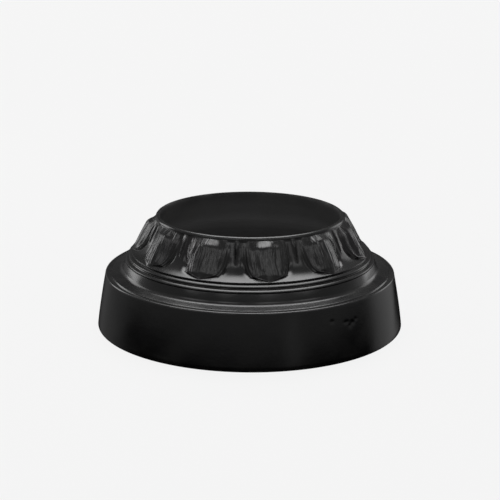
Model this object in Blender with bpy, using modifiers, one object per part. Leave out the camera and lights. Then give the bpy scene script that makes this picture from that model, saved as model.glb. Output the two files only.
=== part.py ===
# Cast pole base cover: a one-piece hollow ring that drops over a lamp pole and hides its base plate.
# Sizes are in metres, +Z is up, and the origin is the centre of the foot ring, on the ground.
# The cover is one turned profile. The leaf band is carved by moving the points of its bell,
# and the first leaf faces -Y.

import math

import bpy
from mathutils import Matrix

# The pole and the opening that it passes through
POLE_RADIUS = 0.10955
POLE_CLEARANCE = 0.00295

# The lip and the bell below it
WALL = 0.0045
LIP_HEIGHT = 0.0056
LIP_ROUND = 0.0014
BELL_REACH = 0.0297
BELL_DROP = 0.0401
COVE_RADIUS = 0.0360
COVE_END = 70

# The leaf band on the bell
LEAF_COUNT = 11
LEAF_GAP = 0.0096
LEAF_TOP_DROP = 0.0005
LEAF_TOP_REACH = 0.0090
LEAF_TOP_SLOPE = 29
LEAF_BEND = 0.0060
LEAF_TIP_WIDTH = 0.0040
LEAF_EDGE_RUN = 0.0016
CROWN_TOP_SHARE = 0.96
CROWN_FOOT_SHARE = 0.62
CROWN_POWER = 1.5
RIB_HEIGHT = 0.0006
DART_SHARE = 0.62
DART_LENGTH_SHARE = 0.42

# The two reeds between the bell and the plain band, half the length and thickness of their section
REED_COUNT = 2
REED_LONG = 0.0030
REED_THICK = 0.0016
REED_LEAN = 32
REED_OUT = 0.0038
REED_DOWN = 0.0049
RIM_LIP = 0.0015
RIM_DROP = 0.0045
RIM_THICKNESS = 0.0014

# The plain band, the shoulder, the rounded edge and the skirt
BAND_STEP = 0.0030
BAND_STEP_DROP = 0.0012
BAND_HEIGHT = 0.0107
BAND_FLARE = 0.0036
SHOULDER_REACH = 0.0138
SHOULDER_FALL = 0.0028
SHOULDER_STEP = 0.0026
SHOULDER_ROUND = 0.0016
GROOVE_WIDTH = 0.0005
GROOVE_DEPTH = 0.0013
EDGE_REACH = 0.0067
EDGE_ROUND = 0.0023
SKIRT_HEIGHT = 0.0646
SKIRT_FLARE = 0.0104
FOOT_ROUND = 0.0008

# How finely the turned body is divided
LEAF_COLUMNS = 3
GAP_COLUMNS = 2
BELL_ROWS = 12
ROUND_POINTS = 3
SHARP_ANGLE = 38

# Radii, from the opening outwards
BORE_RADIUS = POLE_RADIUS + POLE_CLEARANCE
LIP_RADIUS = BORE_RADIUS + WALL
RIM_RADIUS = LIP_RADIUS + BELL_REACH
REED_FIRST_RADIUS = RIM_RADIUS + RIM_LIP
REED_LAST_RADIUS = REED_FIRST_RADIUS + (REED_COUNT - 1) * REED_OUT
BAND_TOP_RADIUS = REED_LAST_RADIUS + BAND_STEP
BAND_FOOT_RADIUS = BAND_TOP_RADIUS + BAND_FLARE
SHOULDER_RADIUS = BAND_FOOT_RADIUS + SHOULDER_REACH
GROOVE_RADIUS = SHOULDER_RADIUS + GROOVE_WIDTH
SKIRT_TOP_RADIUS = GROOVE_RADIUS + EDGE_REACH
FOOT_RADIUS = SKIRT_TOP_RADIUS + SKIRT_FLARE

# Heights, from the ground upwards
EDGE_TOP = SKIRT_HEIGHT + EDGE_ROUND
GROOVE_Z = EDGE_TOP - GROOVE_DEPTH
SHOULDER_Z = GROOVE_Z + SHOULDER_STEP
BAND_FOOT_Z = SHOULDER_Z + SHOULDER_FALL
BAND_TOP_Z = BAND_FOOT_Z + BAND_HEIGHT
REED_LAST_Z = BAND_TOP_Z + BAND_STEP_DROP
REED_FIRST_Z = REED_LAST_Z + (REED_COUNT - 1) * REED_DOWN
RIM_Z = REED_FIRST_Z + RIM_DROP
BELL_TOP_Z = RIM_Z + BELL_DROP
LIP_Z = BELL_TOP_Z + LIP_HEIGHT

# The circle of the cove, and how far the cone's face leans up where it runs into that circle
RIM_TURN = math.radians(COVE_END)
COVE_CENTRE = (RIM_RADIUS + COVE_RADIUS * math.cos(RIM_TURN), RIM_Z + COVE_RADIUS * math.sin(RIM_TURN))
COVE_ASIDE = COVE_CENTRE[0] - LIP_RADIUS
COVE_ABOVE = COVE_CENTRE[1] - BELL_TOP_Z
CONE_TURN = math.atan2(COVE_ABOVE, COVE_ASIDE) + math.acos(COVE_RADIUS / math.hypot(COVE_ABOVE, COVE_ASIDE))

# The slope of a leaf's top, and the circle of the bend from it into the leaf's face
TOP_FALL = math.radians(LEAF_TOP_SLOPE)
TOP_START = (LIP_RADIUS, LIP_Z - LIP_ROUND - LEAF_TOP_DROP)
TOP_END = (TOP_START[0] + LEAF_TOP_REACH, TOP_START[1] - LEAF_TOP_REACH * math.tan(TOP_FALL))
BEND_CENTRE = (TOP_END[0] - LEAF_BEND * math.sin(TOP_FALL), TOP_END[1] - LEAF_BEND * math.cos(TOP_FALL))


def arc(centre, radii, start, end, count):
    # Points on an ellipse in the plane of radius and height, with both ends in, angles in degrees.
    points = []
    for i in range(count):
        angle = math.radians(start + (end - start) * i / (count - 1))
        points.append((centre[0] + radii[0] * math.cos(angle), centre[1] + radii[1] * math.sin(angle)))
    return points


def along(start, end, share):
    # The point at a share of the way from one point to another.
    return tuple(a + (b - a) * share for a, b in zip(start, end))


def bell_shares():
    # Where the rows of the bell lie, from 0 at the lip to 1 at the rim, closer together at both ends.
    return [0.5 - 0.5 * math.cos(math.pi * i / (BELL_ROWS - 1)) for i in range(BELL_ROWS)]


def on_circle(centre, radius, turn):
    # The point of a circle at an angle in radians.
    return (centre[0] + radius * math.cos(turn), centre[1] + radius * math.sin(turn))


def bell_point(share):
    # The bell between the leaves: a straight cone from the lip that runs into a cove out to the rim.
    top = (LIP_RADIUS, BELL_TOP_Z)
    cove_top = on_circle(COVE_CENTRE, -COVE_RADIUS, CONE_TURN)
    cone_length = math.dist(top, cove_top)
    travel = share * (cone_length + COVE_RADIUS * (RIM_TURN - CONE_TURN))
    if travel < cone_length:
        return along(top, cove_top, travel / cone_length)
    return on_circle(COVE_CENTRE, -COVE_RADIUS, CONE_TURN + (travel - cone_length) / COVE_RADIUS)


def leaf_point(share):
    # The middle of a leaf: down its sloping top, round the bend, then straight down to the rim.
    rim = (RIM_RADIUS, RIM_Z)
    distance = math.dist(BEND_CENTRE, rim)
    bearing = math.atan2(rim[1] - BEND_CENTRE[1], rim[0] - BEND_CENTRE[0])
    bend_start = math.pi / 2 - TOP_FALL
    bend_end = bearing + math.acos(LEAF_BEND / distance)
    top_length = math.dist(TOP_START, TOP_END)
    bend_length = LEAF_BEND * (bend_start - bend_end)
    face_length = math.sqrt(distance ** 2 - LEAF_BEND ** 2)
    travel = share * (top_length + bend_length + face_length)
    if travel < top_length:
        return along(TOP_START, TOP_END, travel / top_length)
    turn = max(bend_start - (travel - top_length) / LEAF_BEND, bend_end)
    on_bend = on_circle(BEND_CENTRE, LEAF_BEND, turn)
    return along(on_bend, rim, max(travel - top_length - bend_length, 0) / face_length)


def leaf_half_angle(share):
    # Half the angle that a leaf covers: full at its top, drawn in to a narrow tip at the rim.
    radius, height = leaf_point(share)
    fall = min(max((BELL_TOP_Z - height) / BELL_DROP, 0), 1)
    widest = math.pi / LEAF_COUNT - LEAF_GAP / 2 / LIP_RADIUS
    tip = LEAF_TIP_WIDTH / 2 / RIM_RADIUS
    return tip + (widest - tip) * (1 - fall ** 2) ** 0.6


def reed(centre):
    # A reed's section: part of an ellipse that leans down outwards.
    lean = math.radians(REED_LEAN)
    points = []
    for along_it, over_it in arc((0, 0), (REED_LONG, REED_THICK), 125, -15, ROUND_POINTS):
        out = along_it * math.cos(lean) + over_it * math.sin(lean)
        up = over_it * math.cos(lean) - along_it * math.sin(lean)
        points.append((centre[0] + out, centre[1] + up))
    return points


def outer_profile():
    # The outside, from the lip down to the foot.
    points = arc((LIP_RADIUS - LIP_ROUND, LIP_Z - LIP_ROUND), (LIP_ROUND, LIP_ROUND), 90, 0, ROUND_POINTS)
    points += [bell_point(share) for share in bell_shares()]
    points.append((RIM_RADIUS, RIM_Z - RIM_THICKNESS))
    for i in range(REED_COUNT):
        points += reed((REED_FIRST_RADIUS + i * REED_OUT, REED_FIRST_Z - i * REED_DOWN))
    points.append((BAND_TOP_RADIUS, BAND_TOP_Z))
    points.append((BAND_FOOT_RADIUS, BAND_FOOT_Z))
    centre = (SHOULDER_RADIUS - SHOULDER_ROUND, SHOULDER_Z - SHOULDER_ROUND)
    points += arc(centre, (SHOULDER_ROUND, SHOULDER_ROUND), 80, 0, ROUND_POINTS)
    points.append((GROOVE_RADIUS, GROOVE_Z))
    centre = (SKIRT_TOP_RADIUS - EDGE_ROUND, SKIRT_HEIGHT)
    points += arc(centre, (EDGE_ROUND, EDGE_ROUND), 110, 0, ROUND_POINTS + 1)
    points.append((FOOT_RADIUS, FOOT_ROUND))
    points.append((FOOT_RADIUS - FOOT_ROUND, 0))
    return points


def inner_profile():
    # The inside, from the foot up to the opening, one wall inside the plain turned shape.
    lean = SKIRT_FLARE / SKIRT_HEIGHT
    roof = GROOVE_Z - WALL
    slope = math.atan2(RIM_Z - BAND_TOP_Z, BAND_TOP_RADIUS - RIM_RADIUS)
    across, down = WALL * math.sin(slope), WALL * math.cos(slope)
    cove_radii = (COVE_RADIUS + WALL, COVE_RADIUS + WALL)
    cove_top = 180 + math.degrees(CONE_TURN)
    points = [(FOOT_RADIUS - WALL, 0)]
    points.append((SKIRT_TOP_RADIUS + lean * WALL - WALL, roof))
    points.append((SHOULDER_RADIUS, roof))
    points.append((BAND_FOOT_RADIUS - WALL, BAND_FOOT_Z - WALL))
    points.append((BAND_TOP_RADIUS - across, BAND_TOP_Z - down))
    points += arc(COVE_CENTRE, cove_radii, 180 + COVE_END, cove_top, ROUND_POINTS + 1)
    points.append((BORE_RADIUS, BELL_TOP_Z - WALL * math.tan(CONE_TURN / 2)))
    points.append((BORE_RADIUS, LIP_Z))
    return points


def turn_body():
    # The closed profile turned once about +Z from -Y, with a whole number of columns for each leaf.
    points = [(radius, 0, height) for radius, height in outer_profile() + inner_profile()]
    edges = [(i, (i + 1) % len(points)) for i in range(len(points))]
    outline = bpy.data.meshes.new("profile")
    outline.from_pydata(points, edges, [])
    profile = bpy.data.objects.new("profile", outline)
    bpy.context.scene.collection.objects.link(profile)
    screw = profile.modifiers.new("turn", 'SCREW')
    screw.axis = 'Z'
    screw.steps = LEAF_COUNT * 2 * (LEAF_COLUMNS + GAP_COLUMNS)
    screw.render_steps = screw.steps
    screw.use_merge_vertices = True
    screw.merge_threshold = 0.00001
    screw.use_normal_calculate = False
    depsgraph = bpy.context.evaluated_depsgraph_get()
    body = bpy.data.meshes.new_from_object(profile.evaluated_get(depsgraph))
    bpy.data.objects.remove(profile)
    body.transform(Matrix.Rotation(-math.pi / 2, 4, 'Z'))
    return body


def leaf_column(column, share):
    # The angle from the leaf's centre and the place across the relief for one column of the turned body.
    # Relief is 1 along the leaf's middle, less toward its edges by the crown, and 0 on the bell.
    # Rib is 1 on a crest and -1 in a valley.
    half_pitch = math.pi / LEAF_COUNT
    half = leaf_half_angle(share)
    count = abs(column)
    if count <= LEAF_COLUMNS:
        across = min(0.4 * count, 1)
        crown = CROWN_FOOT_SHARE + (CROWN_TOP_SHARE - CROWN_FOOT_SHARE) * (1 - share) ** 2
        return half * across, 1 - crown * across ** CROWN_POWER, math.cos(2.5 * math.pi * across)
    run = min(LEAF_EDGE_RUN / RIM_RADIUS, (half_pitch - half) / 2)
    beyond = (count - LEAF_COLUMNS - 1) / (GAP_COLUMNS - 1)
    dart = DART_SHARE * beyond * max(1 - share / DART_LENGTH_SHARE, 0) ** 0.7
    return half + run + (half_pitch - half - run) * beyond, dart, 0


def carve_leaves(body):
    # Move each point of the bell across to its place on a leaf, in a gap or on the dart between two leaves.
    half_count = LEAF_COLUMNS + GAP_COLUMNS
    step = math.pi / LEAF_COUNT / half_count
    rows = [(share, bell_point(share)) for share in bell_shares()]
    for vertex in body.vertices:
        radius = math.hypot(vertex.co.x, vertex.co.y)
        share, bell = min(rows, key=lambda row: math.dist(row[1], (radius, vertex.co.z)))
        if math.dist(bell, (radius, vertex.co.z)) > 0.00001:
            continue
        index = round((math.atan2(vertex.co.y, vertex.co.x) + math.pi / 2) / step)
        leaf = round(index / (2 * half_count))
        column = index - leaf * 2 * half_count
        offset, relief, rib = leaf_column(column, share)
        face = leaf_point(share)
        crest = rib * RIB_HEIGHT * min(share * 8, 1) * min((1 - share) * 6, 1)
        out, height = along(bell, face, relief)
        angle = leaf * 2 * half_count * step - math.pi / 2 + math.copysign(offset, column)
        vertex.co = ((out + crest) * math.cos(angle), (out + crest) * math.sin(angle), height)


def paint():
    # Black satin paint on cast metal.
    material = bpy.data.materials.new("black_paint")
    material.use_nodes = True
    shader = material.node_tree.nodes["Principled BSDF"]
    shader.inputs["Base Color"].default_value = (0.011, 0.011, 0.012, 1)
    shader.inputs["Roughness"].default_value = 0.38
    shader.inputs["Metallic"].default_value = 0.0
    material.diffuse_color = (0.03, 0.03, 0.03, 1)
    return material


def build():
    for leftover in list(bpy.data.objects):
        bpy.data.objects.remove(leftover)
    collection = bpy.data.collections.new("pole_base_cover")
    bpy.context.scene.collection.children.link(collection)
    body = turn_body()
    carve_leaves(body)
    body.shade_smooth()
    body.set_sharp_from_angle(angle=math.radians(SHARP_ANGLE))
    body.materials.clear()
    body.materials.append(paint())
    body.name = "pole_base_cover"
    cover = bpy.data.objects.new("pole_base_cover", body)
    collection.objects.link(cover)


build()
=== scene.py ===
import math

import bpy
import numpy as np
from mathutils import Matrix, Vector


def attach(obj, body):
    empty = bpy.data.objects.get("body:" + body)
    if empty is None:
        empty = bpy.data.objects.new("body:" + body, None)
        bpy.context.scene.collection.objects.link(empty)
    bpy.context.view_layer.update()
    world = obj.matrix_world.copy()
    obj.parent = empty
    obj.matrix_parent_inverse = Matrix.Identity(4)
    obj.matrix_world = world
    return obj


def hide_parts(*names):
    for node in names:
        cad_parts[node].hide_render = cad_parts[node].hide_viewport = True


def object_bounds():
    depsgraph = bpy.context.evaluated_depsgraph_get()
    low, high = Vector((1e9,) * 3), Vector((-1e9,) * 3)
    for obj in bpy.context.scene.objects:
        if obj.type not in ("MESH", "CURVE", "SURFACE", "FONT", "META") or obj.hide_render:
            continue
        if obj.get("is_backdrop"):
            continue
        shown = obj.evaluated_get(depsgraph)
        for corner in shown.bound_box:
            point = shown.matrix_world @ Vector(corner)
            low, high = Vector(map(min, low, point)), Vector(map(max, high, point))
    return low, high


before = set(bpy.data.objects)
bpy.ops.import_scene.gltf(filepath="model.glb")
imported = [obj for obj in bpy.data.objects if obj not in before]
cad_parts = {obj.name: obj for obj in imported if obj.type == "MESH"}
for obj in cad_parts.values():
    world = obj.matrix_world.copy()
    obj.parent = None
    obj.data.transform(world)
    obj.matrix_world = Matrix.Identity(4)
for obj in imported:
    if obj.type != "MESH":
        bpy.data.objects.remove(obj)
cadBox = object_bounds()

# Cast pole base cover in black satin paint, standing on a pale floor.
# Lengths are in metres. The front leaf faces -Y, and turns on the cover run anticlockwise from it.


def report(stage, words):
    print(f"{stage}: {words}")


# camera

cameraView = {
    "turn": 9.0,           # degrees that the camera stands to the left of the front leaf
    "distance": 1.7638,    # from the cover's axis, along the floor
    "height": 0.5905,
    "pitchDown": 15.8,     # degrees below level
    "roll": 0.3,
    "lens": 105.95,
    "sensor": 36.0,
}


def placeCamera(view):
    # Stands at the given distance and height, turned about the axis, then pitched and rolled in place.
    lens = bpy.data.cameras.new("photographView")
    lens.lens = view["lens"]
    lens.sensor_width = view["sensor"]
    camera = bpy.data.objects.new("photographView", lens)
    bpy.context.scene.collection.objects.link(camera)
    around = Matrix.Rotation(math.radians(-view["turn"]), 4, 'Z')
    stand = Matrix.Translation((0, -view["distance"], view["height"]))
    tilt = Matrix.Rotation(math.radians(90 - view["pitchDown"]), 4, 'X')
    camera.matrix_world = around @ stand @ tilt @ Matrix.Rotation(math.radians(view["roll"]), 4, 'Z')
    bpy.context.scene.camera = camera
    report("camera", f"{view['distance']:.2f} m away, {view['turn']:.0f} degrees left of the front leaf")


placeCamera(cameraView)


# outline of the casting

casting = {
    "boreRadius": 0.1125,
    "wall": 0.0045,
    "lipHeight": 0.0058,
    "lipRound": 0.0036,    # the lip is rounded on its outer side and a little on its inner
    "boreRound": 0.0005,
    "bellReach": 0.0297,
    "bellDrop": 0.0394,
    "coveRadius": 0.0360,
    "coveEnd": 69.0,       # degrees that the cove's face has turned up from upright where it meets the rim
    "rimRound": 0.0006,
    "rimTurns": (60, 0),   # degrees up from level where its rounding starts and ends
    "rimLip": 0.0015,
    "rimDrop": 0.0045,
    # two corners of the notch under the rim: how far out of it and below it
    "rimNotch": ((0.0001, 0.0018), (0.0002, 0.0023)),
    "reedCount": 2,
    "reedLong": 0.0029,    # half the length of a reed's section, which leans down outwards
    "reedThick": 0.0014,   # half its thickness
    "reedSquare": 0.62,    # 1 for an ellipse, less for a flatter top and rounder corners
    "reedLean": 27.0,      # degrees that it leans
    "reedTurns": (130, -28),   # degrees round its section, from level outwards
    "reedPoints": 9,
    "reedOut": 0.0038,
    "reedDown": 0.0049,
    "bandStep": 0.0030,
    "bandStepDrop": 0.0020,
    "bandRound": 0.0005,
    "bandTurn": 70,        # degrees up from level where its rounding starts
    "bandHeight": 0.0121,
    "bandFlare": 0.0043,
    "bandCove": 0.0076,    # radius of the hollow between the plain band and the shoulder
    "shoulderReach": 0.0129,
    "shoulderFall": 0.0027,
    "shoulderStep": 0.0018,
    "shoulderRound": 0.0003,
    "shoulderTurn": 2,     # and where the shoulder's ends
    "grooveWidth": 0.0009,
    "grooveDepth": 0.0018,
    # two corners of the groove's floor: how far out and up from where it is deepest
    "grooveFloor": ((-0.0001, 0.0002), (0.0004, 0)),
    "edgeReach": 0.0067,
    "edgeRound": 0.0023,
    "edgeTurns": (108, 4),
    "skirtHeight": 0.0652,
    "skirtFlare": 0.0104,
    "skirtBelly": 0.0007,  # how far the skirt stands out at half its height
    # rows down the skirt, closest where the marks are: share of the way from, to, and how many
    "skirtRows": ((0.05, 0.15, 3), (0.18, 0.40, 11), (0.46, 0.92, 6)),
    "footRound": 0.0008,
    "rowsOver": {          # rows of the surface over each bend, and over the shoulder between two
        "bore": 3, "lip": 5, "rim": 3, "bandTop": 3, "hollow": 9, "shoulder": 3, "shoulderEdge": 5,
        "edge": 7, "foot": 4, "insideCove": 5,
    },
    "bandRows": 44,        # and down a leaf
    "bandCrowding": 0.08,  # how much closer they lie at its top and its tip
    "spreadDown": 0.09,    # along the outline, how soon the columns spread evenly below the leaves
    "spreadUp": 0.03,      # and inside the lip
    "sharpFrom": 50,       # degrees between two faces that make a sharp edge
    "maskCurvature": 900,  # per metre, where the masks for wear and dust are full
}


def arcRows(centre, radius, start, end, count):
    # centre + radius * (cos a, sin a), with a running evenly from start to end in degrees
    angle = np.radians(np.linspace(start, end, count))
    return np.column_stack([centre[0] + radius * np.cos(angle), centre[1] + radius * np.sin(angle)])


def straightRows(start, end, count):
    # evenly spaced points between two ends, with neither end in
    share = np.linspace(0, 1, count + 2)[1:-1, None]
    return np.array(start) * (1 - share) + np.array(end) * share


def measure(form):
    # Radii are summed from the bore outwards and heights from the floor upwards.
    size = dict(form)
    size["lipRadius"] = form["boreRadius"] + form["wall"]
    size["rimRadius"] = size["lipRadius"] + form["bellReach"]
    size["reedInner"] = size["rimRadius"] + form["rimLip"]
    size["bandTop"] = size["reedInner"] + (form["reedCount"] - 1) * form["reedOut"] + form["bandStep"]
    size["bandFoot"] = size["bandTop"] + form["bandFlare"]
    size["shoulder"] = size["bandFoot"] + form["shoulderReach"]
    size["groove"] = size["shoulder"] + form["grooveWidth"]
    size["skirtTop"] = size["groove"] + form["edgeReach"]
    size["foot"] = size["skirtTop"] + form["skirtFlare"]
    size["grooveZ"] = form["skirtHeight"] + form["edgeRound"] - form["grooveDepth"]
    size["shoulderZ"] = size["grooveZ"] + form["shoulderStep"]
    size["bandFootZ"] = size["shoulderZ"] + form["shoulderFall"]
    size["bandTopZ"] = size["bandFootZ"] + form["bandHeight"]
    size["reedTopZ"] = size["bandTopZ"] + form["bandStepDrop"] + (form["reedCount"] - 1) * form["reedDown"]
    size["rimZ"] = size["reedTopZ"] + form["rimDrop"]
    size["bellTopZ"] = size["rimZ"] + form["bellDrop"]
    size["lipZ"] = size["bellTopZ"] + form["lipHeight"]
    rimTurn = math.radians(form["coveEnd"])
    centre = np.array([size["rimRadius"] + form["coveRadius"] * math.cos(rimTurn),
                       size["rimZ"] + form["coveRadius"] * math.sin(rimTurn)])
    toCentre = centre - (size["lipRadius"], size["bellTopZ"])
    size["coveCentre"] = centre
    size["coneTurn"] = (math.atan2(toCentre[1], toCentre[0])
                        + math.acos(form["coveRadius"] / np.linalg.norm(toCentre)))
    return size


def coveRows(size, radius, turns):
    # centre - radius * (cos a, sin a), the hollow side of a circle
    return size["coveCentre"] - radius * np.column_stack([np.cos(turns), np.sin(turns)])


def bellLine(size, share):
    # A straight cone from the lip's foot that runs into the cove's arc out to the rim, by length along both.
    radius, coneTurn = size["coveRadius"], size["coneTurn"]
    top = np.array([size["lipRadius"], size["bellTopZ"]])
    coveTop = coveRows(size, radius, np.array([coneTurn]))[0]
    coneLength = np.linalg.norm(coveTop - top)
    travel = share * (coneLength + radius * (math.radians(size["coveEnd"]) - coneTurn))
    cone = top + (coveTop - top) * (travel / coneLength)[:, None]
    cove = coveRows(size, radius, coneTurn + (travel - coneLength) / radius)
    return np.where((travel < coneLength)[:, None], cone, cove)


def hollowRows(corner, radius, start, end, count):
    # The hollow circle that touches both faces beside an inner corner: centre - radius * (cos a, sin a),
    # with the centre radius / cos((end - start) / 2) out from the corner.
    middle, spread = (start + end) / 2, (end - start) / 2
    centre = np.array(corner) + radius / math.cos(spread) * np.array([math.cos(middle), math.sin(middle)])
    turns = np.linspace(start, end, count)
    return centre - radius * np.column_stack([np.cos(turns), np.sin(turns)])


def reedRows(size):
    # Each reed leans down outwards: x = long * cos(a)^square and y = thick * sin(a)^square, signs kept.
    lean = math.radians(size["reedLean"])
    turn = np.radians(np.linspace(*size["reedTurns"], size["reedPoints"]))
    long = size["reedLong"] * np.sign(np.cos(turn)) * np.abs(np.cos(turn)) ** size["reedSquare"]
    thick = size["reedThick"] * np.sign(np.sin(turn)) * np.abs(np.sin(turn)) ** size["reedSquare"]
    section = np.column_stack([long * math.cos(lean) + thick * math.sin(lean),
                               thick * math.cos(lean) - long * math.sin(lean)])
    place = np.array([size["reedInner"], size["reedTopZ"]])
    apart = np.array([size["reedOut"], -size["reedDown"]])
    return np.concatenate([section + place + apart * i for i in range(size["reedCount"])])


def outsideAboveBand(size):
    # The lip: its flat top, rounded over and down to where the leaves start.
    inner, outer, count = size["boreRound"], size["lipRound"], size["rowsOver"]
    return np.concatenate([
        arcRows((size["boreRadius"] + inner, size["lipZ"] - inner), inner, 180, 90, count["bore"]),
        arcRows((size["lipRadius"] - outer, size["lipZ"] - outer), outer, 90, 0, count["lip"]),
    ])


def outsideBelowBand(size):
    # From the rim over the reeds, the plain band, the shoulder and the rounded edge, down the skirt.
    count = size["rowsOver"]
    rimCentre = (size["rimRadius"], size["rimZ"] - size["rimRound"])
    rim = arcRows(rimCentre, size["rimRound"], *size["rimTurns"], count["rim"])
    notch = [(size["rimRadius"] + out, size["rimZ"] - below) for out, below in size["rimNotch"]]
    bandEdge = (size["bandTop"] - size["bandRound"], size["bandTopZ"] - size["bandRound"])
    bandTurn = math.atan2(size["bandFlare"], size["bandHeight"])
    shoulderTurn = math.pi / 2 - math.atan2(size["shoulderFall"], size["shoulderReach"])
    shoulderEdge = (size["shoulder"] - size["shoulderRound"], size["shoulderZ"] - size["shoulderRound"])
    shoulderArc = arcRows(shoulderEdge, size["shoulderRound"], math.degrees(shoulderTurn),
                          size["shoulderTurn"], count["shoulderEdge"])
    bandCorner = (size["bandFoot"], size["bandFootZ"])
    hollow = hollowRows(bandCorner, size["bandCove"], bandTurn, shoulderTurn, count["hollow"])
    shoulder = straightRows(hollow[-1], shoulderArc[0], count["shoulder"])
    edgeCentre = (size["skirtTop"] - size["edgeRound"], size["skirtHeight"])
    skirtTop = np.array([size["skirtTop"], size["skirtHeight"]])
    skirtFoot = np.array([size["foot"], size["footRound"]])
    down = np.concatenate([np.linspace(*rows) for rows in size["skirtRows"]])
    footCentre = (size["foot"] - size["footRound"], size["footRound"])
    skirt = skirtTop + (skirtFoot - skirtTop) * down[:, None]
    skirt[:, 0] += size["skirtBelly"] * 4 * down * (1 - down)
    groove = [(size["groove"] + out, size["grooveZ"] + above) for out, above in size["grooveFloor"]]
    return np.concatenate([
        rim, notch, reedRows(size),
        arcRows(bandEdge, size["bandRound"], size["bandTurn"], math.degrees(bandTurn), count["bandTop"]),
        hollow, shoulder, shoulderArc, groove,
        arcRows(edgeCentre, size["edgeRound"], *size["edgeTurns"], count["edge"]),
        skirt,
        arcRows(footCentre, size["footRound"], 0, -90, count["foot"]),
    ])


def insideRows(size):
    # One wall behind the plain outline: up the skirt, under the shoulder, past the cove to the opening.
    wall = size["wall"]
    roof = size["grooveZ"] - wall
    lean = size["skirtFlare"] / size["skirtHeight"]
    slope = math.atan2(size["rimZ"] - size["bandTopZ"], size["bandTop"] - size["rimRadius"])
    skirt = [(size["foot"] - wall, 0), (size["skirtTop"] + lean * wall - wall, roof)]
    shoulder = (size["shoulder"], roof)
    band = [(size["bandFoot"] - wall, size["bandFootZ"] - wall),
            (size["bandTop"] - wall * math.sin(slope), size["bandTopZ"] - wall * math.cos(slope))]
    turns = np.linspace(math.radians(size["coveEnd"]), size["coneTurn"], size["rowsOver"]["insideCove"])
    cove = coveRows(size, size["coveRadius"] + wall, turns)
    collar = (size["boreRadius"], size["bellTopZ"] - wall * math.tan(size["coneTurn"] / 2))
    return np.concatenate([
        [skirt[0]], straightRows(skirt[0], skirt[1], 1), [skirt[1], shoulder],
        band, cove, straightRows(cove[-1], collar, 1), [collar],
    ])


# leaves

leafBand = {
    "count": 11,
    "gap": 0.0195,          # between two leaves where they are widest
    "topDrop": 0.0002,      # from the lip's rounding down to the leaf's top
    "topReach": 0.0072,     # how far the sloping top runs out from the lip
    "topSlope": 29.0,       # degrees that it falls
    "roll": 0.0105,         # radius of the bend into the leaf's face
    "fullness": 0.38,       # less for a squarer lower end
    "point": 3.7,           # more for a blunter tip
    "tipWidth": 0.0026,
    "edgeRun": 0.0034,      # width of the side of a leaf, seen from the front
    "edgeShare": 0.55,      # the most of half a gap that the side may take
    "crownTop": 0.96,       # how far a leaf's edge lies below its middle, as a share of its height
    "crownFoot": 0.84,
    "ridgeTop": 1.25,       # 1 for a ridge down the middle, 2 for a round back
    "ridgeFoot": 1.9,
    "ridgeBlend": 0.5,      # share of the way down by which the first has become the second
    "border": 0.0009,       # height of the rolled border on a leaf's left side, near its foot
    "borderRight": 0.35,    # the same on its right side, as a share of the left
    "ditch": 0.0022,        # depth of the hollow that runs up beside a leaf's foot
    "ditchWidth": 0.0020,
    "borderIn": 0.0019,     # how far in from the edge its crest lies
    "borderWidth": 0.001045,
    "borderHigh": 0.4,      # its height near the leaf's top, as a share of that near its foot
    "rib": 0.0009,          # height of the ribs
    "ribWaves": 5,          # waves that make them up
    "ribFewest": 4.0,       # ribs across half a leaf, for the longest and the shortest wave
    "ribMost": 13.0,
    "ribSlant": 1.6,
    "ribFading": 0.4,       # how much a wave comes and goes down the leaf
    "ribPatches": (6, 3),   # how often it does, and how much that differs
    # shares of the way down the leaf: each begins at the first and is full at the second
    "ribFrom": (0, 0.1111),
    "borderFrom": (0, 0.1667),
    "ditchFrom": (0.35, 0.6833),
    # and each has gone at the first and is still full at the second
    "ribTo": (0.93, 0.68),
    "borderTo": (1, 0.9167),
    "ditchTo": (0.97, 0.72),
    "streaksTo": (1, 0.8333),
    "streaksSide": (0, 0.3333),   # and up the side of a leaf, as a share of its height
    "ribEdge": (1.8, 3.8),  # the ribs begin and are full this far in from the edge, in steps of borderIn
    "ditchLeft": (0.6, 0.4),   # depth at each side as a share, and how much it differs from leaf to leaf
    "ditchRight": (0.8, 0.2),
    "reliefOut": 0.92,      # a leaf's face leans, so its relief stands partly out and partly up
    "reliefUp": 0.38,
    "dart": 0.34,           # height of the dart between two leaves, as a share of a leaf's
    "dartLength": 0.55,
    "dartWidth": 0.0070,
    "dartTip": 0.35,        # width near its tip, as a share
    "dartFade": 0.6,        # how late it loses its height down its length and toward its sides
    "dartRound": 0.8,
    "crowding": 0.35,       # how much closer the columns lie toward the leaf's edge
    "leastTurn": 3.6,       # degrees that a leaf's face columns always cover, each side of its middle
    "faceColumns": 21,
    "sideColumns": 4,
    "gapColumns": 7,
    "seed": 7,
}


def rising(value, start, full):
    # 0 at start, 1 at full and beyond, straight between; full may be the lesser
    return np.clip((value - start) / (full - start), 0, 1)


def eased(share):
    # 3 s^2 - 2 s^3
    return share * share * (3 - 2 * share)


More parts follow.
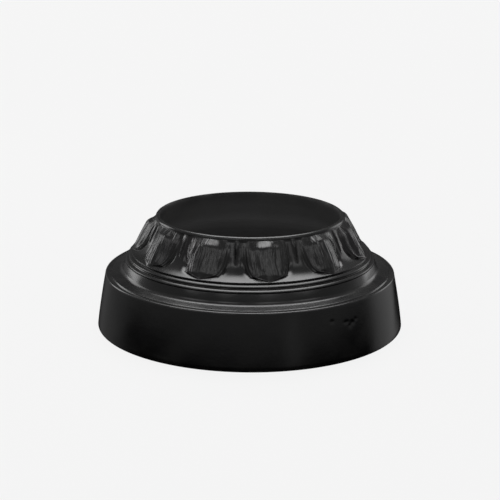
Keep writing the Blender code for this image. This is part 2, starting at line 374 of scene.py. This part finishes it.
def leafLine(size, leaf, share):
    # Out along the sloping top, round the bend, then straight down to the rim, by length along all three.
    slope = math.radians(leaf["topSlope"])
    start = np.array([size["lipRadius"], size["lipZ"] - size["lipRound"] - leaf["topDrop"]])
    bend = start + leaf["topReach"] * np.array([1, -math.tan(slope)])
    centre = bend - leaf["roll"] * np.array([math.sin(slope), math.cos(slope)])
    rim = np.array([size["rimRadius"], size["rimZ"]])
    distance = np.linalg.norm(rim - centre)
    end = math.atan2(rim[1] - centre[1], rim[0] - centre[0]) + math.acos(leaf["roll"] / distance)
    topLength = leaf["topReach"] / math.cos(slope)
    rollLength = leaf["roll"] * (math.pi / 2 - slope - end)
    faceLength = math.sqrt(distance ** 2 - leaf["roll"] ** 2)
    travel = share * (topLength + rollLength + faceLength)
    onTop = start + (bend - start) * (travel / topLength)[:, None]
    turn = np.clip(math.pi / 2 - slope - (travel - topLength) / leaf["roll"], end, math.pi / 2 - slope)
    onRoll = centre + leaf["roll"] * np.column_stack([np.cos(turn), np.sin(turn)])
    down = np.maximum(travel - topLength - rollLength, 0)[:, None] / faceLength
    return np.where((travel < topLength)[:, None], onTop, onRoll + (rim - onRoll) * down)


def leafHalfAngle(size, leaf, height):
    # tip + (widest - tip) * the lesser of (1 - fall^2)^fullness and point * (1 - fall), where fall is 0 at
    # the leaf's top and 1 at the rim
    fall = np.clip((size["bellTopZ"] - height) / size["bellDrop"], 0, 1)
    widest = math.pi / leaf["count"] - leaf["gap"] / 2 / size["lipRadius"]
    tip = leaf["tipWidth"] / 2 / size["rimRadius"]
    return tip + (widest - tip) * np.minimum((1 - fall ** 2) ** leaf["fullness"], leaf["point"] * (1 - fall))


def columnTurns(leaf, edge, side, crowd):
    # Angles of the columns in one half leaf, by row: over the face, down its side, then across the gap.
    half = math.pi / leaf["count"]
    face = 1 - (1 - np.linspace(0, 1, leaf["faceColumns"] + 1)) ** crowd[:, None]
    sideShare = np.linspace(0, 1, leaf["sideColumns"] + 1)[1:]
    gapShare = np.linspace(0, 1, leaf["gapColumns"] + 1)[1:]
    edge, side = edge[:, None], side[:, None]
    return np.concatenate([
        edge * face,
        edge + side * sideShare,
        edge + side + (half - edge - side) * gapShare,
    ], axis=1)


def carve(size, leaf, share, radius, turn, index):
    # Height over the bell as a share of the leaf's, and the small relief on its face. The leaf is eased up
    # its side and falls away from its middle by crown * (out / half)^power. The ribs are cosines across it,
    # and the border and the ditch are exp(-(distance / width)^2) beside its edge.
    height = leafLine(size, leaf, share)[:, 1]
    half = leafHalfAngle(size, leaf, height)[:, None]
    out = np.abs(turn)
    inward = (half - out) * radius[:, None]                # distance in from the leaf's edge
    run = np.minimum(leaf["edgeRun"], leaf["edgeShare"] * (math.pi / leaf["count"] - half) * radius[:, None])
    onLeaf = eased(np.clip(inward / run + 1, 0, 1))
    down = share[:, None]
    fromMiddle = (math.pi / leaf["count"] - out) * radius[:, None]
    dartLeft = np.clip(1 - down / leaf["dartLength"], 0, 1)
    dartHalf = leaf["dartWidth"] / 2 * (leaf["dartTip"] + (1 - leaf["dartTip"]) * dartLeft)
    dartEdge = np.clip(1 - fromMiddle / dartHalf, 0, 1)
    dart = leaf["dart"] * dartLeft ** leaf["dartFade"] * dartEdge ** leaf["dartRound"] * (1 - onLeaf)
    across = turn * leaf["count"] / math.pi
    wander = np.random.default_rng(leaf["seed"] + index).uniform(-1, 1, (leaf["ribWaves"], 4))
    rib = np.zeros_like(turn)
    often, differing = leaf["ribPatches"]
    for k, pace in enumerate(np.linspace(leaf["ribFewest"], leaf["ribMost"], leaf["ribWaves"])):
        drift = math.pi * wander[k, 0] + leaf["ribSlant"] * wander[k, 1] * down
        patches = np.sin((often + differing * wander[k, 2]) * down + math.pi * wander[k, 3])
        fading = 1 - leaf["ribFading"] + leaf["ribFading"] * patches
        rib += np.cos(pace * math.pi * across / 2 + drift) * fading / math.sqrt(leaf["ribWaves"])
    rib *= rising(inward / leaf["borderIn"], *leaf["ribEdge"])
    rib *= rising(down, *leaf["ribFrom"]) * rising(down, *leaf["ribTo"])
    border = np.exp(-((inward - leaf["borderIn"]) / leaf["borderWidth"]) ** 2)
    border *= leaf["borderHigh"] + (1 - leaf["borderHigh"]) * down
    border *= rising(down, *leaf["borderFrom"]) * rising(down, *leaf["borderTo"])
    border *= np.where(turn < 0, 1, leaf["borderRight"])
    relief = leaf["rib"] * rib + leaf["border"] * border
    beside = np.exp(-((-inward - run) / leaf["ditchWidth"]) ** 2) * (1 - onLeaf)
    left = leaf["ditchLeft"][0] + leaf["ditchLeft"][1] * wander[0, 0]
    right = leaf["ditchRight"][0] + leaf["ditchRight"][1] * wander[1, 0]
    ditch = leaf["ditch"] * beside * np.where(turn < 0, left, right)
    ditch *= rising(down, *leaf["ditchFrom"]) * rising(down, *leaf["ditchTo"])
    crown = leaf["crownFoot"] + (leaf["crownTop"] - leaf["crownFoot"]) * (1 - down) ** 2
    power = leaf["ridgeTop"] + (leaf["ridgeFoot"] - leaf["ridgeTop"]) * rising(down, 0, leaf["ridgeBlend"])
    crowned = onLeaf * (1 - crown * np.clip(out / half, 0, 1) ** power)
    return np.maximum(crowned, dart), relief * onLeaf - ditch


# marks and unevenness on the plain parts

skirtMarks = [
    # turn in degrees, height, half width, half height, depth
    {"turn": 22.4, "height": 0.0500, "across": 0.0019, "tall": 0.0017, "depth": 0.0008},
    {"turn": 28.6, "height": 0.0462, "across": 0.0030, "tall": 0.0015, "depth": 0.0006},
    {"turn": 31.6, "height": 0.0440, "across": 0.0026, "tall": 0.0021, "depth": 0.0007},
    {"turn": 33.4, "height": 0.0472, "across": 0.0016, "tall": 0.0014, "depth": 0.0005},
    {"turn": 30.2, "height": 0.0415, "across": 0.0020, "tall": 0.0012, "depth": 0.0005},
    {"turn": 0.2, "height": 0.0280, "across": 0.0022, "tall": 0.0020, "depth": 0.0004},
]

unevenness = {
    "height": 0.00008,
    "seed": 3,
    "waves": 14,
    "around": (3, 26),      # fewest waves in a full turn, and one more than the most
    "down": (20, 120),      # radians per metre of the outline
    "inside": 2,            # how many times rougher the inside is
    "clearOfFoot": 0.002,   # the foot and the lip stay flat within these
    "clearOfLip": 0.0003,
}


def wavySurface(settings, azimuth, along):
    # A sum of long waves round the cover and down its outline, whole ones round so that the ends meet.
    random = np.random.default_rng(settings["seed"])
    total = np.zeros_like(azimuth)
    for _ in range(settings["waves"]):
        around = random.integers(*settings["around"])
        down = random.uniform(*settings["down"])
        total += np.sin(around * azimuth + down * along + random.uniform(0, 2 * np.pi))
    return total * settings["height"] / math.sqrt(settings["waves"] / 2)


def dents(marks, azimuth, height, radius):
    # Each mark is a round hollow: depth * exp(-(x / across)^2 - (z / tall)^2).
    total = np.zeros_like(azimuth)
    for mark in marks:
        aside = np.angle(np.exp(1j * (azimuth - math.radians(mark["turn"])))) * radius
        above = height - mark["height"]
        total += mark["depth"] * np.exp(-(aside / mark["across"]) ** 2 - (above / mark["tall"]) ** 2)
    return total


# the whole casting as one surface

def castingSurface(form, leaf, marks, uneven):
    # A closed ring of rows (down the outside, then up the inside) by columns (round the axis).
    size = measure(form)
    step = np.linspace(0, 1, form["bandRows"])
    share = step - form["bandCrowding"] * np.sin(2 * np.pi * step)
    parts = [outsideAboveBand(size), bellLine(size, share), outsideBelowBand(size), insideRows(size)]
    rows = np.concatenate(parts)
    first = len(parts[0])
    band = slice(first, first + len(share))
    outside = first + len(share) + len(parts[2])
    steps = np.linalg.norm(np.diff(rows, axis=0), axis=1)
    along = np.concatenate([[0], np.cumsum(steps)])

    # inside the band the columns follow the leaf's outline, and away from it they spread out evenly
    half = math.pi / leaf["count"]
    perHalf = leaf["faceColumns"] + leaf["sideColumns"] + leaf["gapColumns"]
    evenEdge = half * leaf["faceColumns"] / perHalf
    evenSide = half * leaf["sideColumns"] / perHalf
    line = leafLine(size, leaf, share)
    outline = leafHalfAngle(size, leaf, line[:, 1])
    bandEdge = np.maximum(outline, math.radians(leaf["leastTurn"]))
    bandSide = np.minimum(leaf["edgeRun"] / line[:, 0], leaf["edgeShare"] * (half - bandEdge))
    spread = eased(np.clip((along - along[band.stop - 1]) / form["spreadDown"], 0, 1))
    rise = np.clip((along[-1] - along) / form["spreadUp"], 0, 1)
    edge = bandEdge[-1] + (evenEdge - bandEdge[-1]) * spread
    side = bandSide[-1] + (evenSide - bandSide[-1]) * spread
    edge = bandEdge[0] + (edge - bandEdge[0]) * rise
    side = bandSide[0] + (side - bandSide[0]) * rise
    edge[:first], side[:first] = bandEdge[0], bandSide[0]
    edge[band], side[band] = bandEdge, bandSide
    crowd = 1 + leaf["crowding"] * (1 - spread) * rise
    halfTurns = columnTurns(leaf, edge, side, crowd)
    leafTurns = np.concatenate([-halfTurns[:, :0:-1], halfTurns[:, :-1]], axis=1)
    columns = leafTurns.shape[1]

    radius = np.repeat(rows[:, :1], leaf["count"] * columns, axis=1)
    height = np.repeat(rows[:, 1:], leaf["count"] * columns, axis=1)
    azimuth = np.concatenate([leafTurns + 2 * half * k for k in range(leaf["count"])], axis=1)
    leafFace = np.zeros_like(radius)
    for k in range(leaf["count"]):
        one = slice(k * columns, (k + 1) * columns)
        onLeaf, relief = carve(size, leaf, share, line[:, 0], leafTurns[band], k)
        streaked = rising(share, *leaf["streaksTo"])[:, None]
        leafFace[band, one] = rising(onLeaf, *leaf["streaksSide"]) * streaked
        radius[band, one] += (line[:, :1] - rows[band, :1]) * onLeaf + relief * leaf["reliefOut"]
        height[band, one] += (line[:, 1:] - rows[band, 1:]) * onLeaf + relief * leaf["reliefUp"]
    wavy = wavySurface(uneven, azimuth, along[:, None])
    wavy[outside:] *= uneven["inside"]
    standing = (rows[:, 1] > uneven["clearOfFoot"]) & (rows[:, 1] < size["lipZ"] - uneven["clearOfLip"])
    radius += wavy * standing[:, None]
    radius[:outside] -= dents(marks, azimuth[:outside], height[:outside], radius[:outside])
    points = np.stack([radius * np.sin(azimuth), -radius * np.cos(azimuth), height], axis=-1)
    return points, outside, leafFace


def curvatureMasks(points, outward, full):
    # How far each point stands over or under the mean of its neighbours, by the spacing between them.
    crest = np.zeros(points.shape[:2])
    for axis in (0, 1):
        before, after = np.roll(points, 1, axis), np.roll(points, -1, axis)
        toBefore = np.linalg.norm(points - before, axis=-1)
        toAfter = np.linalg.norm(points - after, axis=-1)
        weight = (toAfter / (toBefore + toAfter))[..., None]
        rise = ((points - before * weight - after * (1 - weight)) * outward).sum(axis=-1)
        crest += 2 * rise / (toBefore * toAfter)
    return np.clip(crest / full, 0, 1), np.clip(-crest / full, 0, 1)


def surfaceNormals(points):
    # The cross product of the steps down the rows and round the columns.
    down = np.roll(points, -1, 0) - np.roll(points, 1, 0)
    around = np.roll(points, -1, 1) - np.roll(points, 1, 1)
    normal = np.cross(down, around)
    return normal / np.linalg.norm(normal, axis=-1, keepdims=True)


def closedMesh(name, points):
    # Quads between each point and its neighbours below and beside it, joined round both ways.
    rows, columns = points.shape[:2]
    index = np.arange(rows * columns).reshape(rows, columns)
    below, beside = np.roll(index, -1, 0), np.roll(index, -1, 1)
    corner = np.roll(below, -1, 1)
    faces = np.stack([index, below, corner, beside], axis=-1).reshape(-1, 4)
    mesh = bpy.data.meshes.new(name)
    mesh.vertices.add(rows * columns)
    mesh.vertices.foreach_set("co", points.reshape(-1))
    mesh.loops.add(faces.size)
    mesh.loops.foreach_set("vertex_index", faces.reshape(-1))
    mesh.polygons.add(len(faces))
    mesh.polygons.foreach_set("loop_start", np.arange(0, faces.size, 4))
    mesh.update(calc_edges=True)
    mesh.validate()
    return mesh


def buildCasting():
    # The whole casting as one mesh, outside and inside in their own paints, the inside's colour lightened as
    # painted light, with its masks as attributes.
    points, outside, leafFace = castingSurface(casting, leafBand, skirtMarks, unevenness)
    mesh = closedMesh("coverCasting", points)
    crest, hollow = curvatureMasks(points, surfaceNormals(points), casting["maskCurvature"])
    for name, values in (("crest", crest), ("hollow", hollow), ("leafFace", leafFace)):
        layer = mesh.attributes.new(name, 'FLOAT', 'POINT')
        layer.data.foreach_set("value", values.reshape(-1).astype(np.float32))
    mesh.shade_smooth()
    mesh.set_sharp_from_angle(angle=math.radians(casting["sharpFrom"]))
    cover = bpy.data.objects.new("coverCasting", mesh)
    bpy.context.scene.collection.objects.link(cover)
    inner = np.zeros(points.shape[:2], dtype=np.int32)
    inner[outside:] = 1
    mesh.materials.append(coverPaint(outsidePaint))
    mesh.materials.append(coverPaint(insidePaintPaintedLight))
    mesh.polygons.foreach_set("material_index", inner.reshape(-1))
    rows, columns = points.shape[:2]
    report("casting", f"{rows} rows by {columns} columns, {2 * rows * columns} triangles")
    return cover


# paint

outsidePaint = {
    "name": "blackSatinPaint",
    "colour": (0.0042, 0.0042, 0.0045),
    "paler": (0.0080, 0.0079, 0.0076),
    "roughness": 0.16,
    "roughnessSpread": 0.08,
    "bump": 0.5,
    "grainHeight": 0.00007,
    "streakHeight": 0.0038,
    "streakFineness": 24.0,   # streaks in a turn of one radian
    "streakLength": 16.0,     # how soon they change down the leaf, per metre
    "wear": 0.55,             # the most that wear and dust may cover
    "dust": 0.30,
}

# A matte black paint inside, its colour made far lighter than the outside's: painted light standing in for
# the light that falls on the inside wall.
insidePaintPaintedLight = {
    "name": "blackPaintInsidePaintedLight",
    "colour": (0.0390, 0.0390, 0.0397),
    "paler": (0.0520, 0.0516, 0.0508),
    "roughness": 0.55,
    "roughnessSpread": 0.10,
    "bump": 0.5,
    "grainHeight": 0.00022,
    "wear": 0.10,
    "dust": 0.45,
}

# Sizes of noise are in spots per metre, and each range says where a mask begins and where it is full.
paintLook = {
    "specular": 0.5,
    "cloud": 22,
    "cloudRange": (0.35, 0.70),
    "dustColour": (0.055, 0.052, 0.047),
    "wornColour": (0.030, 0.030, 0.031),
    "dustRoughness": 0.35,
    "wornRoughness": -0.08,
}

streakLook = {"drift": 30, "driftTurn": 0.06, "detail": 3, "rough": 0.55}
grainLook = {"peel": 420, "skin": 1300, "skinShare": 0.30, "swell": 95, "swellShare": 2.2,
             "pores": 700, "poreRange": (0.70, 0.80), "poreShare": -0.8}
wearLook = {"patches": 160, "patchRange": (0.42, 0.66)}
dustLook = {"patches": 60, "patchRange": (0.35, 0.75), "upRange": (0.5, 1.0), "upShare": 0.25}


def newGroup(name, inputs, outputs):
    # An empty node group with the named sockets, and its two end nodes.
    group = bpy.data.node_groups.new(name, 'ShaderNodeTree')
    for label, kind in inputs:
        group.interface.new_socket(label, in_out='INPUT', socket_type=kind)
    for label, kind in outputs:
        group.interface.new_socket(label, in_out='OUTPUT', socket_type=kind)
    return group, group.nodes.new('NodeGroupInput'), group.nodes.new('NodeGroupOutput')


def noise(nodes, links, vector, scale, detail, rough=0.5):
    # Fractal noise between 0 and 1.
    node = nodes.new('ShaderNodeTexNoise')
    node.inputs['Scale'].default_value = scale
    node.inputs['Detail'].default_value = detail
    node.inputs['Roughness'].default_value = rough
    links.new(vector, node.inputs['Vector'])
    return node.outputs['Fac']


def maths(nodes, links, operation, first, second, third=None):
    # One Math node on numbers or sockets, such as first * second + third.
    node = nodes.new('ShaderNodeMath')
    node.operation = operation
    for socket, value in zip(node.inputs, (first, second, third)):
        if isinstance(value, (int, float)):
            socket.default_value = value
        elif value is not None:
            links.new(value, socket)
    return node.outputs[0]


def ramp(nodes, links, value, low, high):
    # 0 below low, 1 above high, smooth between
    node = nodes.new('ShaderNodeMapRange')
    node.interpolation_type = 'SMOOTHSTEP'
    node.inputs['From Min'].default_value = low
    node.inputs['From Max'].default_value = high
    links.new(value, node.inputs['Value'])
    return node.outputs['Result']


def leafStreaksGroup():
    # Streaks that run down the leaves: noise of (turn * fineness, height * a little), wandering sideways.
    group, given, result = newGroup("leafStreaks", [
        ("Vector", 'NodeSocketVector'), ("Fineness", 'NodeSocketFloat'), ("Length", 'NodeSocketFloat'),
    ], [("Height", 'NodeSocketFloat')])
    nodes, links = group.nodes, group.links
    split = nodes.new('ShaderNodeSeparateXYZ')
    links.new(given.outputs['Vector'], split.inputs[0])
    front = maths(nodes, links, 'MULTIPLY', split.outputs['Y'], -1.0)
    turn = maths(nodes, links, 'ARCTAN2', split.outputs['X'], front)
    drift = noise(nodes, links, given.outputs['Vector'], streakLook["drift"], 2)
    turn = maths(nodes, links, 'MULTIPLY_ADD', drift, streakLook["driftTurn"], turn)
    joined = nodes.new('ShaderNodeCombineXYZ')
    across = maths(nodes, links, 'MULTIPLY', turn, given.outputs['Fineness'])
    down = maths(nodes, links, 'MULTIPLY', split.outputs['Z'], given.outputs['Length'])
    links.new(across, joined.inputs['X'])
    links.new(down, joined.inputs['Y'])
    streaks = noise(nodes, links, joined.outputs[0], 1, streakLook["detail"], streakLook["rough"])
    links.new(streaks, result.inputs['Height'])
    return group


def castGrainGroup():
    # Orange peel in the paint over the coarser skin of a sand casting.
    group, given, result = newGroup("castGrain", [("Vector", 'NodeSocketVector')],
                                    [("Height", 'NodeSocketFloat')])
    nodes, links = group.nodes, group.links
    peel = noise(nodes, links, given.outputs['Vector'], grainLook["peel"], 2)
    skin = noise(nodes, links, given.outputs['Vector'], grainLook["skin"], 3, 0.6)
    swell = noise(nodes, links, given.outputs['Vector'], grainLook["swell"], 2)
    pores = noise(nodes, links, given.outputs['Vector'], grainLook["pores"], 1)
    pores = ramp(nodes, links, pores, *grainLook["poreRange"])
    mixed = maths(nodes, links, 'MULTIPLY_ADD', skin, grainLook["skinShare"], peel)
    mixed = maths(nodes, links, 'MULTIPLY_ADD', swell, grainLook["swellShare"], mixed)
    mixed = maths(nodes, links, 'MULTIPLY_ADD', pores, grainLook["poreShare"], mixed)
    links.new(mixed, result.inputs['Height'])
    return group


def edgeWearGroup():
    # Paint rubbed thin where the surface stands proud, broken up by noise.
    group, given, result = newGroup("edgeWear", [
        ("Vector", 'NodeSocketVector'), ("Crest", 'NodeSocketFloat'), ("Amount", 'NodeSocketFloat'),
    ], [("Mask", 'NodeSocketFloat')])
    nodes, links = group.nodes, group.links
    patchy = noise(nodes, links, given.outputs['Vector'], wearLook["patches"], 4, 0.6)
    breakUp = ramp(nodes, links, patchy, *wearLook["patchRange"])
    worn = maths(nodes, links, 'MULTIPLY', given.outputs['Crest'], breakUp)
    links.new(maths(nodes, links, 'MULTIPLY', worn, given.outputs['Amount']), result.inputs['Mask'])
    return group


def settledDustGroup():
    # Dust that lies in hollows and, thinly, on what faces up.
    group, given, result = newGroup("settledDust", [
        ("Vector", 'NodeSocketVector'), ("Hollow", 'NodeSocketFloat'), ("Up", 'NodeSocketFloat'),
        ("Amount", 'NodeSocketFloat'),
    ], [("Mask", 'NodeSocketFloat')])
    nodes, links = group.nodes, group.links
    patchy = noise(nodes, links, given.outputs['Vector'], dustLook["patches"], 5, 0.65)
    patchy = ramp(nodes, links, patchy, *dustLook["patchRange"])
    upward = ramp(nodes, links, given.outputs['Up'], *dustLook["upRange"])
    lying = maths(nodes, links, 'MULTIPLY_ADD', upward, dustLook["upShare"], given.outputs['Hollow'])
    lying = maths(nodes, links, 'MULTIPLY', lying, patchy)
    links.new(maths(nodes, links, 'MULTIPLY', lying, given.outputs['Amount']), result.inputs['Mask'])
    return group


effects = {"grain": castGrainGroup(), "wear": edgeWearGroup(), "dust": settledDustGroup(),
           "streaks": leafStreaksGroup()}


def placeGroup(nodes, name):
    # One of the shared effects, placed in a material.
    node = nodes.new('ShaderNodeGroup')
    node.node_tree = effects[name]
    return node


def mixColour(nodes, links, factor, first, second):
    # first * (1 - factor) + second * factor
    node = nodes.new('ShaderNodeMix')
    node.data_type = 'RGBA'
    links.new(factor, node.inputs['Factor'])
    for socket, value in ((node.inputs['A'], first), (node.inputs['B'], second)):
        if isinstance(value, tuple):
            socket.default_value = (*value, 1)
        else:
            links.new(value, socket)
    return node.outputs['Result']


def attribute(nodes, name):
    # A value that the mesh carries at its points.
    node = nodes.new('ShaderNodeAttribute')
    node.attribute_name = name
    return node.outputs['Fac']


def addBump(nodes, links, paint, height, depth, normal=None):
    # Tilts the normal by the slope of height * depth, on top of an earlier bump if there is one.
    bump = nodes.new('ShaderNodeBump')
    bump.inputs['Strength'].default_value = paint["bump"]
    bump.inputs['Distance'].default_value = depth
    links.new(height, bump.inputs['Height'])
    if normal:
        links.new(normal, bump.inputs['Normal'])
    return bump.outputs['Normal']


def coverPaint(paint):
    # Cloudy colour and roughness, then dust in the hollows, then worn edges, over grain and leaf streaks.
    material = bpy.data.materials.new(paint["name"])
    material.use_nodes = True
    nodes, links = material.node_tree.nodes, material.node_tree.links
    shader = nodes["Principled BSDF"]
    shader.inputs["Metallic"].default_value = 0.0
    shader.inputs["Specular IOR Level"].default_value = paintLook["specular"]
    place = nodes.new('ShaderNodeTexCoord').outputs['Object']
    facing = nodes.new('ShaderNodeSeparateXYZ')
    links.new(nodes.new('ShaderNodeNewGeometry').outputs['Normal'], facing.inputs[0])

    grain = placeGroup(nodes, "grain")
    wear = placeGroup(nodes, "wear")
    dust = placeGroup(nodes, "dust")
    for node in (grain, wear, dust):
        links.new(place, node.inputs['Vector'])
    links.new(attribute(nodes, "crest"), wear.inputs['Crest'])
    wear.inputs['Amount'].default_value = paint["wear"]
    links.new(attribute(nodes, "hollow"), dust.inputs['Hollow'])
    links.new(facing.outputs['Z'], dust.inputs['Up'])
    dust.inputs['Amount'].default_value = paint["dust"]
    dusty, worn = dust.outputs['Mask'], wear.outputs['Mask']

    cloudy = ramp(nodes, links, noise(nodes, links, place, paintLook["cloud"], 4), *paintLook["cloudRange"])
    colour = mixColour(nodes, links, cloudy, paint["colour"], paint["paler"])
    colour = mixColour(nodes, links, dusty, colour, paintLook["dustColour"])
    colour = mixColour(nodes, links, worn, colour, paintLook["wornColour"])
    links.new(colour, shader.inputs['Base Color'])
    rough = maths(nodes, links, 'MULTIPLY_ADD', cloudy, paint["roughnessSpread"], paint["roughness"])
    rough = maths(nodes, links, 'MULTIPLY_ADD', dusty, paintLook["dustRoughness"], rough)
    rough = maths(nodes, links, 'MULTIPLY_ADD', worn, paintLook["wornRoughness"], rough)
    links.new(rough, shader.inputs['Roughness'])

    normal = None
    if "streakHeight" in paint:
        streaks = placeGroup(nodes, "streaks")
        links.new(place, streaks.inputs['Vector'])
        streaks.inputs['Fineness'].default_value = paint["streakFineness"]
        streaks.inputs['Length'].default_value = paint["streakLength"]
        streaked = maths(nodes, links, 'MULTIPLY', streaks.outputs['Height'], attribute(nodes, "leafFace"))
        normal = addBump(nodes, links, paint, streaked, paint["streakHeight"])
    normal = addBump(nodes, links, paint, grain.outputs['Height'], paint["grainHeight"], normal)
    links.new(normal, shader.inputs['Normal'])
    return material


# floor, backdrop light and lamps

studio = {
    "floorSize": 12.0,
    "floorColour": (0.03, 0.03, 0.03),
    "floorGlow": 0.86,
    "floorRoughness": 0.8,
    "floorSpecular": 0.1,
    "backdrop": 0.895,        # brightness behind the cover
    "table": 0.42,            # light from straight below
    "horizon": 0.26,          # light of the room from just over the floor
    "walls": 0.06,            # what the walls add higher up
    # where each begins and is full, as the up or down part of a direction of length 1
    "tableRange": (0.55, 0.92),
    "horizonRange": (-0.17, 0.05),
    "wallsRange": (0.36, 0.62),
    "behindRange": (0.50, 0.90),
    "behind": 0.30,           # how much of the room's light there is behind the cover
    "lampAim": 0.07,          # height on the axis that the lamps face
}

softLights = [
    # turn and lift in degrees, full and edge in degrees out from its middle
    {"name": "box behind", "turn": 171, "lift": 68, "full": 14, "edge": 31, "light": 5.2},
    {"name": "right glow", "turn": 116, "lift": -4, "full": 4, "edge": 30, "light": 0.42},
    {"name": "left glow", "turn": -140, "lift": -4, "full": 5, "edge": 38, "light": 0.16},
    {"name": "slim glow", "turn": 23, "lift": -4, "full": 1, "edge": 9, "light": 0.20},
    {"name": "far right window", "turn": 48, "lift": 39, "full": 3, "edge": 15, "light": 1.1},
    {"name": "right window", "turn": 10, "lift": 42, "full": 2, "edge": 12, "light": 1.5},
    {"name": "left window", "turn": -32, "lift": 42, "full": 2, "edge": 12, "light": 1.5},
    {"name": "far left window", "turn": -66, "lift": 39, "full": 3, "edge": 15, "light": 1.1},
]

lamps = [
    # turn in degrees, distance, height, width and height of its face, watts
    {"name": "rightBox", "turn": 119, "distance": 1.6, "height": 0.50, "size": (0.60, 0.8), "watts": 1.6},
    {"name": "leftBox", "turn": -131, "distance": 1.6, "height": 0.55, "size": (0.60, 0.9), "watts": 3.6},
]


def buildFloor(settings):
    # A glowing square at height 0 that neither mirrors in the cover nor lights it.
    half = settings["floorSize"] / 2
    corners = np.array([[-half, -half, 0], [half, -half, 0], [half, half, 0], [-half, half, 0]])
    mesh = bpy.data.meshes.new("floor")
    mesh.from_pydata(corners.tolist(), [], [(0, 1, 2, 3)])
    material = bpy.data.materials.new("paleFloor")
    material.use_nodes = True
    shader = material.node_tree.nodes["Principled BSDF"]
    shader.inputs["Base Color"].default_value = (*settings["floorColour"], 1)
    shader.inputs["Roughness"].default_value = settings["floorRoughness"]
    shader.inputs["Specular IOR Level"].default_value = settings["floorSpecular"]
    shader.inputs["Emission Color"].default_value = (1, 1, 1, 1)
    shader.inputs["Emission Strength"].default_value = settings["floorGlow"]
    mesh.materials.append(material)
    floor = bpy.data.objects.new("floor", mesh)
    bpy.context.scene.collection.objects.link(floor)
    floor.visible_glossy = False
    floor.visible_diffuse = False
    floor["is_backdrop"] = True
    report("floor", f"{settings['floorSize']:.0f} m square")


def softLight(nodes, links, direction, light):
    # Full within one angle of its middle and nothing beyond another, smooth between.
    turn, lift = math.radians(light["turn"]), math.radians(light["lift"])
    middle = (math.sin(turn) * math.cos(lift), -math.cos(turn) * math.cos(lift), math.sin(lift))
    toward = nodes.new('ShaderNodeVectorMath')
    toward.label = light["name"]
    toward.operation = 'DOT_PRODUCT'
    toward.inputs[1].default_value = middle
    links.new(direction, toward.inputs[0])
    edge, full = math.cos(math.radians(light["edge"])), math.cos(math.radians(light["full"]))
    return ramp(nodes, links, toward.outputs['Value'], edge, full)


def buildBackdrop(settings, lights):
    # One plain brightness behind the cover. For everything else a room: dim walls that are darker behind
    # the cover, a pale table straight below, and the soft lights.
    world = bpy.data.worlds.new("softStudio")
    bpy.context.scene.world = world
    world.use_nodes = True
    nodes, links = world.node_tree.nodes, world.node_tree.links
    direction = nodes.new('ShaderNodeTexCoord').outputs['Generated']
    split = nodes.new('ShaderNodeSeparateXYZ')
    links.new(direction, split.inputs[0])
    walls = ramp(nodes, links, split.outputs['Z'], *settings["wallsRange"])
    walls = maths(nodes, links, 'MULTIPLY', walls, settings["walls"])
    horizon = ramp(nodes, links, split.outputs['Z'], *settings["horizonRange"])
    walls = maths(nodes, links, 'MULTIPLY_ADD', horizon, settings["horizon"], walls)
    behind = ramp(nodes, links, split.outputs['Y'], *settings["behindRange"])
    behind = maths(nodes, links, 'MULTIPLY_ADD', behind, settings["behind"] - 1, 1.0)
    walls = maths(nodes, links, 'MULTIPLY', walls, behind)
    down = maths(nodes, links, 'MULTIPLY', split.outputs['Z'], -1.0)
    table = ramp(nodes, links, down, *settings["tableRange"])
    room = maths(nodes, links, 'MULTIPLY_ADD', table, settings["table"], walls)
    for light in lights:
        spot = softLight(nodes, links, direction, light)
        room = maths(nodes, links, 'MULTIPLY_ADD', spot, light["light"], room)
    seen = nodes.new('ShaderNodeLightPath').outputs['Is Camera Ray']
    level = nodes.new('ShaderNodeMix')
    links.new(seen, level.inputs['Factor'])
    links.new(room, level.inputs['A'])
    level.inputs['B'].default_value = settings["backdrop"]
    links.new(level.outputs['Result'], nodes["Background"].inputs['Strength'])
    nodes["Background"].inputs['Color'].default_value = (1, 1, 1, 1)
    report("backdrop", f"plain and pale, with {len(lights)} soft lights round it")


def hangLamps(lampList, aimHeight):
    # Each stands at its turn and distance, and its face is turned down the line to the aim.
    for lamp in lampList:
        light = bpy.data.lights.new(lamp["name"], 'AREA')
        light.shape = 'RECTANGLE'
        light.size, light.size_y = lamp["size"]
        light.energy = lamp["watts"]
        hung = bpy.data.objects.new(lamp["name"], light)
        bpy.context.scene.collection.objects.link(hung)
        turn, away = math.radians(lamp["turn"]), lamp["distance"]
        spot = np.array([away * math.sin(turn), -away * math.cos(turn), lamp["height"]])
        aim = np.array([0, 0, aimHeight]) - spot
        out = math.atan2(math.hypot(aim[0], aim[1]), -aim[2])
        hung.matrix_world = (Matrix.Translation(spot) @ Matrix.Rotation(turn, 4, 'Z')
                             @ Matrix.Rotation(out, 4, 'X'))
    report("lamps", f"{len(lampList)} soft boxes")


# putting it together

cover = buildCasting()
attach(cover, "root")
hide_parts("pole_base_cover")
buildFloor(studio)
buildBackdrop(studio, softLights)
hangLamps(lamps, studio["lampAim"])
bpy.context.scene.view_settings.view_transform = 'Standard'

bpy.context.view_layer.update()
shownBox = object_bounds()
sizes = {"cad": [list(corner) for corner in cadBox], "visual": [list(corner) for corner in shownBox]}
report("size", f"CAD {sizes['cad']}, shown {sizes['visual']}")
